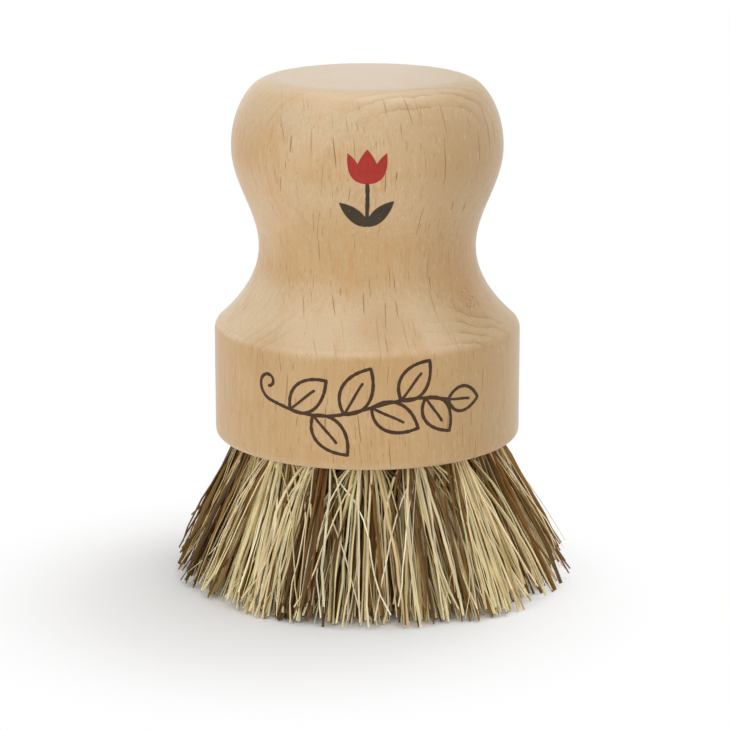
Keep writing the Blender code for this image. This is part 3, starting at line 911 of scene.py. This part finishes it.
# Place along the sprig, turn in degrees and length of each of its leaves
SPRIG_LEAVES = (
    (-15.2, 50, 9.6),
    (-10.4, -48, 9.9),
    (-4.4, 46, 10.2),
    (0.8, -44, 9.9),
    (6.4, 42, 9.2),
    (11.2, -52, 8.6),
    (16.0, 6, 7.2),
)


def ink_material(name, colour, worn_colour, bare_from):
    graph = Graph(name)
    place, _ = graph.coordinates()
    pores = graph.noise(place, (3.2, 3.2, 0.7), 4.0, 0.7)
    cloud = graph.noise(place, (0.5, 0.5, 0.3))
    worn = graph.ease(cloud, 0.3, 0.7, 0.0, 0.5)
    shade = graph.mix(worn, srgb(*colour), srgb(*worn_colour))
    bare = graph.ease(pores, bare_from, bare_from + 0.07, 0.0, 0.75)
    graph.feed_surface({
        "Base Color": graph.over(shade, WOOD_UNDER_INK, bare),
        "Roughness": graph.ease(pores, 0.3, 0.7, 0.5, 0.66),
        "Specular IOR Level": 0.35,
    })
    graph.bump(pores, 0.3, 0.05 * MM)
    return graph.material


def bezier(start, first, second, end, steps=16):
    """Points of the curve that leaves its start towards first and meets its end from second."""
    points = []
    for t in evenly(0, 1, steps):
        s = 1 - t
        near, early, late, far = s**3, 3 * s * s * t, 3 * s * t * t, t**3
        points.append(tuple(
            near * a + early * b + late * c + far * d
            for a, b, c, d in zip(start, first, second, end)
        ))
    return points


def resampled(points, gap):
    """The same line with points a gap apart."""
    out = [points[0]]
    carried = 0.0
    for (ax, ay), (bx, by) in zip(points, points[1:]):
        length = math.hypot(bx - ax, by - ay)
        while carried + length >= gap:
            t = (gap - carried) / length
            ax, ay = ax + (bx - ax) * t, ay + (by - ay) * t
            length = math.hypot(bx - ax, by - ay)
            out.append((ax, ay))
            carried = 0.0
        carried += length
    if math.dist(out[-1], points[-1]) > gap * 0.3:
        out.append(points[-1])
    return out


def stroke(points, width, gap=0.45, sides=12):
    """Outlines that cover a drawn line: a disc at each point and a slab for each short run."""
    points = resampled(points, gap)
    halves = [width / 2 * RNG.uniform(0.86, 1.1) for _ in points]
    turns = [math.tau * i / sides for i in range(sides)]
    shapes = []
    for (x, y), half in zip(points, halves):
        shapes.append([(x + half * math.cos(turn), y + half * math.sin(turn)) for turn in turns])
    for k, ((ax, ay), (bx, by)) in enumerate(zip(points, points[1:])):
        length = math.hypot(bx - ax, by - ay)
        nx, ny = -(by - ay) / length, (bx - ax) / length
        a, b = halves[k], halves[k + 1]
        right = [(ax - nx * a, ay - ny * a), (bx - nx * b, by - ny * b)]
        left = [(bx + nx * b, by + ny * b), (ax + nx * a, ay + ny * a)]
        shapes.append(right + left)
    return shapes


def strokes(lines, width):
    return [shape for line in lines for shape in stroke(line, width)]


def leaf_sides(base, angle, length, width):
    """The two sides and the rib of a pointed leaf."""
    cos, sin = math.cos(angle), math.sin(angle)

    def at(along, across):
        along, across = along * length, across * width
        return (base[0] + cos * along - sin * across, base[1] + sin * along + cos * across)

    tip = at(1.0, 0.08)
    left = bezier(base, at(0.22, 0.78), at(0.68, 0.72), tip)
    right = bezier(base, at(0.22, -0.72), at(0.66, -0.62), tip)
    rib = bezier(at(0.06, 0), at(0.3, 0), at(0.5, 0.06), at(0.68, 0.04))
    return left, right, rib


def filled(shapes, grid):
    """The shapes' points and triangles, with a grid's points among them so that they can bend."""
    verts, faces = [], []
    for shape in shapes:
        area = sum(a[0] * b[1] - b[0] * a[1] for a, b in zip(shape, shape[1:] + shape[:1]))
        if area < 0:
            shape = shape[::-1]
        faces.append(list(range(len(verts), len(verts) + len(shape))))
        verts += [Vector(point) for point in shape]
    low = [min(v[i] for v in verts) for i in (0, 1)]
    high = [max(v[i] for v in verts) for i in (0, 1)]
    steps = [int((high[i] - low[i]) / grid) + 1 for i in (0, 1)]
    for i in range(steps[0] + 1):
        for j in range(steps[1] + 1):
            x, y = low[0] + i * grid + GRID_NUDGE[0], low[1] + j * grid + GRID_NUDGE[1]
            verts.append(Vector((x, y)))
    points, _, triangles, _, _, sources = delaunay_2d_cdt(verts, [], faces, 0, 1e-5)
    return points, [triangle for triangle, source in zip(triangles, sources) if source]


def on_wood(point, centre_z, offset, step=0.05 * MM):
    """A point of the print on the turned surface, or so far out from it."""
    z = centre_z + point.y * MM
    slope = (side_radius(z + step) - side_radius(z - step)) / (2 * step)
    normal = Vector((1.0, -slope)).normalized()
    radius = side_radius(z) + normal.x * offset
    angle = point.x * MM / side_radius(centre_z) - math.pi / 2
    return (radius * math.cos(angle), radius * math.sin(angle), z + normal.y * offset)


def decal(name, shapes, centre_z, material, grid=1.6):
    """A thin closed skin of ink on the wood, from outlines that may overlap."""
    points, kept = filled(shapes, grid)
    used = sorted({i for triangle in kept for i in triangle})
    index = {old: new for new, old in enumerate(used)}
    count = len(used)
    verts = [on_wood(points[i], centre_z, offset) for offset in (INK_LIFT, -INK_SINK) for i in used]
    polygons, edges = [], []
    for triangle in kept:
        a, b, c = (index[i] for i in triangle)
        polygons += [(a, b, c), (a + count, c + count, b + count)]
        edges += [(a, b), (b, c), (c, a)]
    known = set(edges)
    for a, b in edges:
        if (b, a) not in known:
            polygons.append((b, a, a + count, b + count))
    mesh = bpy.data.meshes.new(name)
    mesh.from_pydata(verts, [], polygons)
    bm = bmesh.new()
    bm.from_mesh(mesh)
    bmesh.ops.recalc_face_normals(bm, faces=bm.faces)
    bm.to_mesh(mesh)
    bm.free()
    mesh.materials.append(material)
    piece = add_object(name, mesh)
    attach(piece, "root")


def sprig_y(x):
    return SPRIG_WAVE * math.sin(x / SPRIG_HALF_WAVELENGTH * math.pi) - SPRIG_DROP


def sprig_slope(x):
    steepest = SPRIG_WAVE * math.pi / SPRIG_HALF_WAVELENGTH
    return math.atan(steepest * math.cos(x / SPRIG_HALF_WAVELENGTH * math.pi))


def make_garland(material):
    """A leafy sprig drawn in line round the front of the collar, with a curl at its end."""
    lines = [
        [(x, sprig_y(x)) for x in evenly(SPRIG_START, SPRIG_END, 142)],
        bezier((SPRIG_START, sprig_y(SPRIG_START)), (-22.4, 0.6), (-23.0, 4.4), (-20.6, 4.9)),
        bezier((-20.6, 4.9), (-18.8, 5.2), (-18.4, 2.9), (-20.0, 2.7)),
    ]
    ribs = []
    for x, turn, length in SPRIG_LEAVES:
        angle = sprig_slope(x) + math.radians(turn)
        left, right, rib = leaf_sides((x, sprig_y(x)), angle, length, 0.3 * length + 2.4)
        lines += [left, right]
        ribs.append(rib)
    shapes = strokes(lines, SPRIG_LINE) + strokes(ribs, RIB_LINE)
    decal("print_garland", shapes, GARLAND_Z, material)


def make_tulip(dark, red):
    """A small tulip on the head: a red flower on a dark stem with two dark leaves."""
    flower = (
        bezier((0.0, -2.6), (-2.6, -2.6), (-4.1, -0.9), (-3.7, 3.2), 12)
        + bezier((-3.7, 3.2), (-2.9, 2.7), (-2.2, 1.9), (-1.8, 1.2), 6)[1:]
        + bezier((-1.8, 1.2), (-1.3, 2.3), (-0.7, 3.2), (0.0, 3.9), 6)[1:]
        + bezier((0.0, 3.9), (0.7, 3.2), (1.3, 2.3), (1.8, 1.2), 6)[1:]
        + bezier((1.8, 1.2), (2.2, 1.9), (2.9, 2.7), (3.7, 3.2), 6)[1:]
        + bezier((3.7, 3.2), (4.1, -0.9), (2.6, -2.6), (0.0, -2.6), 12)[1:-1]
    )
    decal("print_flower", [flower], FLOWER_Z, red, grid=1.0)
    stem = bezier((0.0, 3.2), (0.15, 0.5), (-0.15, -2.2), (0.0, -4.6))
    shapes = stroke(stem, STEM_LINE)
    for turn in (44, 136):
        left, right, _ = leaf_sides((0.0, -5.2), math.radians(turn), *TULIP_LEAF)
        shapes.append(left + right[-2:0:-1])
    decal("print_stem", shapes, STEM_Z, dark, grid=1.0)


# Staples
def staple_material():
    graph = Graph("staple_steel")
    place, _ = graph.coordinates()
    brushed = graph.noise(place, (4.0, 4.0, 0.6), 3.0)
    share = graph.ease(brushed, 0.3, 0.7)
    graph.feed_surface({
        "Base Color": graph.mix(share, srgb(176, 176, 178), srgb(150, 150, 154)),
        "Roughness": graph.ease(brushed, 0.3, 0.7, 0.28, 0.42),
        "Metallic": 1.0,
    })
    graph.bump(brushed, 0.2, 0.03 * MM)
    return graph.material


# Studio: lengths are in metres here
WHITE = (1, 1, 1, 1)
FLOOR_COLOUR = (0.92, 0.925, 0.93, 1.0)
FLOOR_RADIUS = 4.0
FLOOR_DROP = 0.05 * MM
SHADOW_SHIFT = (0.014, 0.020, 0.0)
WHITE_DISTANCES = (0.032, 0.074)
PICTURE_PIXELS = 730.0
FOCAL_PIXELS = 2800.0
SHIFT_PIXELS = -2.3
SENSOR_WIDTH = 36.0
CAMERA_PLACE = (0.0, -0.5364, 0.1760)
CAMERA_TARGET = (0, 0, 0.04096)


def seen_rays(tree):
    """1 for camera, glossy and transmission rays, 0 for the others."""
    path = tree.nodes.new("ShaderNodeLightPath")
    found = path.outputs["Is Camera Ray"]
    for name in ("Is Glossy Ray", "Is Transmission Ray"):
        both = tree.nodes.new("ShaderNodeMath")
        both.operation = "MAXIMUM"
        tree.links.new(found, both.inputs[0])
        tree.links.new(path.outputs[name], both.inputs[1])
        found = both.outputs[0]
    return found


def floor_material():
    """Plain pale floor that turns to the white of the background away from the brush."""
    graph = Graph("pale_floor")
    graph.feed_surface({"Base Color": FLOOR_COLOUR, "Roughness": 0.9, "Specular IOR Level": 0.1})
    place = graph.node("ShaderNodeTexCoord").outputs["Object"]
    distance = graph.vector("LENGTH", graph.vector("ADD", place, SHADOW_SHIFT))
    far = graph.ease(distance, *WHITE_DISTANCES)
    white = graph.node("ShaderNodeEmission", {"Color": WHITE, "Strength": 1.0}).outputs[0]
    share = graph.times(far, seen_rays(graph.tree))
    sockets = {0: share, 1: graph.surface.outputs[0], 2: white}
    blend = graph.node("ShaderNodeMixShader", sockets).outputs[0]
    graph.feed(graph.tree.nodes["Material Output"].inputs[0], blend)
    return graph.material


def make_floor():
    bm = bmesh.new()
    bmesh.ops.create_circle(bm, cap_ends=True, segments=96, radius=FLOOR_RADIUS)
    floor = add_object("floor", finished_mesh(bm, "floor"))
    floor.data.materials.append(floor_material())
    floor.location.z = -FLOOR_DROP


def make_world(strength):
    """White where it is seen, and of the given strength as light."""
    world = bpy.data.worlds.new("studio")
    bpy.context.scene.world = world
    world.use_nodes = True
    tree = world.node_tree
    background = tree.nodes["Background"]
    background.inputs["Color"].default_value = WHITE
    power = tree.nodes.new("ShaderNodeMapRange")
    tree.links.new(seen_rays(tree), power.inputs[0])
    power.inputs[3].default_value = strength
    power.inputs[4].default_value = 1.0
    tree.links.new(power.outputs[0], background.inputs["Strength"])


def aim(obj, place, target):
    obj.location = place
    obj.rotation_euler = (Vector(target) - Vector(place)).to_track_quat("-Z", "Y").to_euler()


def area_light(name, place, target, size, power):
    data = bpy.data.lights.new(name, "AREA")
    data.shape = "RECTANGLE"
    data.size, data.size_y = size, size
    data.energy = power
    aim(add_object(name, data), place, target)


def make_camera():
    data = bpy.data.cameras.new("camera")
    data.sensor_width = SENSOR_WIDTH
    data.lens = FOCAL_PIXELS * SENSOR_WIDTH / PICTURE_PIXELS
    data.shift_x = SHIFT_PIXELS / PICTURE_PIXELS
    data.clip_start, data.clip_end = 0.02, 20.0
    camera = add_object("camera", data)
    aim(camera, CAMERA_PLACE, CAMERA_TARGET)
    bpy.context.scene.camera = camera


make_camera()
make_floor()
make_world(0.62)
area_light("key", (-0.8, -0.8, 0.42), (0, 0, 0.05), size=0.6, power=3.1)
area_light("top", (0.2, 0.2, 1.0), (0, 0, 0.05), size=0.7, power=3.9)
area_light("fill", (0.75, -0.75, 0.3), (0, 0, 0.04), size=0.6, power=0.8)

holes = list(hole_frames())
handle = make_handle([matrix for *_, matrix in holes], beech_material())
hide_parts("handle")
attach(handle, "root")

fibre = fibre_material()
for ring, number, angle, matrix in holes:
    make_tuft(ring, number, angle, matrix, fibre)

line_ink = ink_material("line_ink", (62, 39, 8), (76, 52, 22), 0.66)
dark_ink = ink_material("dark_ink", (56, 45, 28), (70, 58, 42), 0.66)
red_ink = ink_material("red_ink", (166, 43, 32), (180, 55, 44), 0.7)
make_garland(line_ink)
make_tulip(dark_ink, red_ink)

steel = staple_material()
for name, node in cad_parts.items():
    if name.startswith("staple_"):
        node.data.materials.clear()
        node.data.materials.append(steel)

scene = bpy.context.scene
scene.view_settings.view_transform = "Standard"
